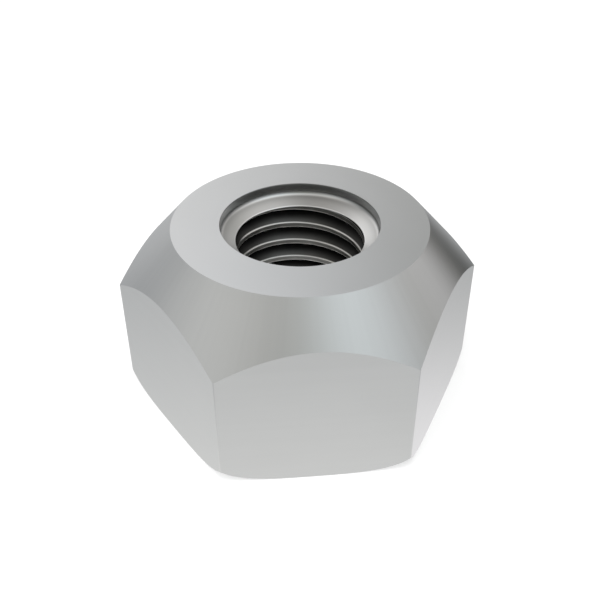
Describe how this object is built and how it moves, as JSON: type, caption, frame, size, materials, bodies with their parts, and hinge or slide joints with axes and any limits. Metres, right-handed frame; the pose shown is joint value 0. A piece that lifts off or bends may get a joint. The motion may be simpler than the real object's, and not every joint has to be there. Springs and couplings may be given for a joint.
{
  "type": "spherical nut",
  "caption": "Hexagon nut with a conical centring seat, a flat top face and a recessed threaded through hole.",
  "frame": {"origin": "centre of the flat base face, on the thread axis", "axes": "+Z along the thread axis towards the seat and the top face; two flats face -Y and +Y, two corners lie on X"},
  "size_m": [0.0346, 0.03, 0.018],
  "materials": {
    "steel": "satin zinc-plated steel, grey"
  },
  "bodies": {
    "root": {"nut": "steel"}
  },
  "joints": []
}
